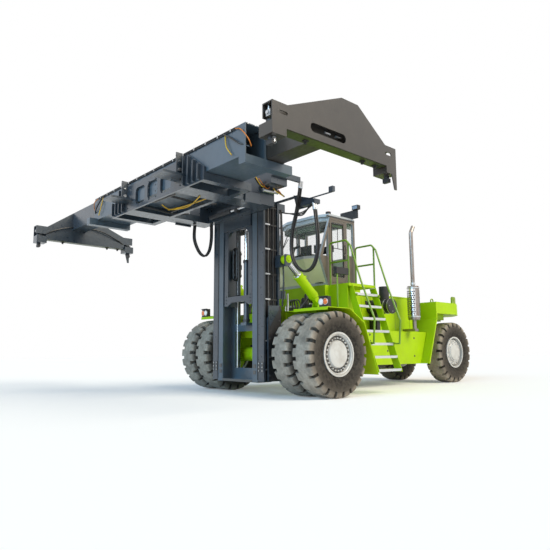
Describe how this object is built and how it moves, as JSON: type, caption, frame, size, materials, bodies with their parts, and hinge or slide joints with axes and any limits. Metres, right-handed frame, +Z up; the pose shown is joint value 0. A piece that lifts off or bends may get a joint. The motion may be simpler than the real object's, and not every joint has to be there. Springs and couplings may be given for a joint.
{
  "type": "container handler with lifting mast and top-lift spreader",
  "caption": "Masted container handler on twin drive wheels and steered rear wheels, with a telescopic twistlock spreader, glazed cab, stairs and rear counterweight.",
  "frame": {"origin": "on the ground under the middle of the machine as parked", "axes": "+Z up, the front (mast and spreader) faces -Y, +X is the machine's left"},
  "size_m": [8.506, 10.1549, 4.28],
  "materials": {
    "body_green": "satin",
    "mast_paint": "satin",
    "cab_paint": "satin",
    "cab_panel": "satin",
    "rim": "satin",
    "tyre": "matt",
    "dark_steel": "satin",
    "cast_iron": "rough",
    "chrome": "polished",
    "black_plastic": "matt",
    "glass": "clear",
    "seat_fabric": "woven",
    "hose": "matt"
  },
  "bodies": {
    "chassis": {"chassis_frame": "body_green", "drive_axle": "body_green", "steer_axle": "dark_steel", "counterweight": "body_green", "fenders": "body_green", "side_tanks": "body_green", "stairs": "body_green", "handrails": "body_green", "cab_base": "body_green", "cab_floor": "cab_paint", "cab_frame": "cab_paint", "cab_roof": "cab_paint", "cab_walls": "cab_panel", "windscreen": "glass", "cab_windows": "glass", "driver_seat": "seat_fabric", "steering_console": "black_plastic", "engine_hood": "body_green", "engine_block": "cast_iron", "exhaust_stack": "chrome", "air_cleaner": "black_plastic", "work_lamps": "black_plastic", "mirrors": "black_plastic"},
    "door": {"cab_door": "cab_panel", "door_window": "glass"},
    "lid": {"hood_lid": "body_green"},
    "mast": {"mast_outer": "mast_paint", "lift_cylinders": "mast_paint"},
    "inner_mast": {"mast_inner": "mast_paint", "lift_rods": "chrome", "free_lift_cylinder": "mast_paint", "hose_bracket": "mast_paint", "hose_front": "hose", "hose_rear": "hose"},
    "free_rod": {"free_lift_rod": "chrome"},
    "carriage": {"lift_carriage": "mast_paint", "cradle": "mast_paint"},
    "spreader": {"spreader_body": "mast_paint"},
    "arm_left": {"spreader_arm_left": "mast_paint"},
    "arm_right": {"spreader_arm_right": "mast_paint"},
    "lock_front_left": {"twistlock_front_left": "dark_steel"},
    "lock_rear_left": {"twistlock_rear_left": "dark_steel"},
    "lock_front_right": {"twistlock_front_right": "dark_steel"},
    "lock_rear_right": {"twistlock_rear_right": "dark_steel"},
    "tilt_barrel_left": {"tilt_barrel_left": "body_green"},
    "tilt_barrel_right": {"tilt_barrel_right": "body_green"},
    "tilt_rod_left": {"tilt_rod_left": "chrome"},
    "tilt_rod_right": {"tilt_rod_right": "chrome"},
    "drive_wheel_left": {"drive_tyres_left": "tyre", "drive_rims_left": "rim"},
    "drive_wheel_right": {"drive_tyres_right": "tyre", "drive_rims_right": "rim"},
    "knuckle_left": {"knuckle_left": "dark_steel"},
    "knuckle_right": {"knuckle_right": "dark_steel"},
    "steer_wheel_left": {"steer_tyre_left": "tyre", "steer_rim_left": "rim"},
    "steer_wheel_right": {"steer_tyre_right": "tyre", "steer_rim_right": "rim"}
  },
  "joints": [
    {"name": "mast_tilt", "type": "hinge", "parent": "chassis", "child": "mast", "pos_m": [0, -1.7125, 0.55], "axis": [1, 0, 0], "range_deg": [-6, 5]},
    {"name": "mast_lift", "type": "slide", "parent": "mast", "child": "inner_mast", "axis": [0, 0, 1], "range_m": [0, 2.58]},
    {"name": "carriage_lift", "type": "slide", "parent": "inner_mast", "child": "carriage", "axis": [0, 0, 1], "range_m": [-1.2, 0]},
    {"name": "free_rod_slide", "type": "slide", "parent": "inner_mast", "child": "free_rod", "axis": [0, 0, 1], "range_m": [-0.61, 0]},
    {"name": "side_shift", "type": "slide", "parent": "carriage", "child": "spreader", "axis": [1, 0, 0], "range_m": [-0.3, 0.3]},
    {"name": "arm_reach", "type": "slide", "parent": "spreader", "child": "arm_left", "axis": [1, 0, 0], "range_m": [-1.2065, 1.8595]},
    {"name": "arm_reach_right", "type": "slide", "parent": "spreader", "child": "arm_right", "axis": [-1, 0, 0], "range_m": [-1.2085, 1.8615]},
    {"name": "lock_turn", "type": "hinge", "parent": "arm_left", "child": "lock_front_left", "pos_m": [4.133, -4.9775, 3.4], "axis": [0, 0, 1], "range_deg": [0, 90]},
    {"name": "lock_turn_rear_left", "type": "hinge", "parent": "arm_left", "child": "lock_rear_left", "pos_m": [4.133, -2.7175, 3.4], "axis": [0, 0, 1], "range_deg": [-0.5, 90.5]},
    {"name": "lock_turn_front_right", "type": "hinge", "parent": "arm_right", "child": "lock_front_right", "pos_m": [-4.133, -4.9775, 3.4], "axis": [0, 0, 1], "range_deg": [-0.5, 90.5]},
    {"name": "lock_turn_rear_right", "type": "hinge", "parent": "arm_right", "child": "lock_rear_right", "pos_m": [-4.133, -2.7175, 3.4], "axis": [0, 0, 1], "range_deg": [-0.5, 90.5]},
    {"name": "tilt_barrel_swing_left", "type": "hinge", "parent": "chassis", "child": "tilt_barrel_left", "pos_m": [1.05, -0.9625, 1.842], "axis": [1, 0, 0], "range_deg": [-7.78, 6.48]},
    {"name": "tilt_rod_slide_left", "type": "slide", "parent": "tilt_barrel_left", "child": "tilt_rod_left", "axis": [0, -0.7509, 0.6604], "range_m": [-0.16114, 0.13428]},
    {"name": "tilt_barrel_swing_right", "type": "hinge", "parent": "chassis", "child": "tilt_barrel_right", "pos_m": [-1.05, -0.9625, 1.842], "axis": [1, 0, 0], "range_deg": [-7.78, 6.48]},
    {"name": "tilt_rod_slide_right", "type": "slide", "parent": "tilt_barrel_right", "child": "tilt_rod_right", "axis": [0, -0.7509, 0.6604], "range_m": [-0.16114, 0.13428]},
    {"name": "drive_wheel_spin_left", "type": "hinge", "parent": "chassis", "child": "drive_wheel_left", "pos_m": [1.855, -1.5125, 0.8], "axis": [1, 0, 0], "continuous": true},
    {"name": "drive_wheel_spin_right", "type": "hinge", "parent": "chassis", "child": "drive_wheel_right", "pos_m": [-1.855, -1.5125, 0.8], "axis": [1, 0, 0], "continuous": true},
    {"name": "steering", "type": "hinge", "parent": "chassis", "child": "knuckle_left", "pos_m": [0.52, 4.2975, 0.8], "axis": [0, 0, 1], "range_deg": [-42, 42]},
    {"name": "steering_right", "type": "hinge", "parent": "chassis", "child": "knuckle_right", "pos_m": [-0.52, 4.2975, 0.8], "axis": [0, 0, 1], "range_deg": [-42.2, 42.2]},
    {"name": "steer_wheel_spin_left", "type": "hinge", "parent": "knuckle_left", "child": "steer_wheel_left", "pos_m": [0.85, 4.2975, 0.8], "axis": [1, 0, 0], "continuous": true},
    {"name": "steer_wheel_spin_right", "type": "hinge", "parent": "knuckle_right", "child": "steer_wheel_right", "pos_m": [-0.85, 4.2975, 0.8], "axis": [1, 0, 0], "continuous": true},
    {"name": "door_swing", "type": "hinge", "parent": "chassis", "child": "door", "pos_m": [0.81, 0.2115, 3.04], "axis": [0, 0, 1], "range_deg": [0, 95]},
    {"name": "lid_swing", "type": "hinge", "parent": "chassis", "child": "lid", "pos_m": [0, 2.99521, 2.166], "axis": [-1, 0, 0], "range_deg": [0, 50]}
  ],
  "couplings": [
    {"joint": "free_rod_slide", "follows": "carriage_lift", "ratio": 0.5},
    {"joint": "arm_reach_right", "follows": "arm_reach", "ratio": 1},
    {"joint": "lock_turn_rear_left", "follows": "lock_turn", "ratio": 1},
    {"joint": "lock_turn_front_right", "follows": "lock_turn", "ratio": 1},
    {"joint": "lock_turn_rear_right", "follows": "lock_turn", "ratio": 1},
    {"joint": "steering_right", "follows": "steering", "ratio": 1},
    {"joint": "tilt_barrel_swing_left", "follows": "mast_tilt", "ratio": 1.2343},
    {"joint": "tilt_rod_slide_left", "follows": "mast_tilt", "m_per_rad": 1.4655},
    {"joint": "tilt_barrel_swing_right", "follows": "mast_tilt", "ratio": 1.2343},
    {"joint": "tilt_rod_slide_right", "follows": "mast_tilt", "m_per_rad": 1.4655}
  ]
}
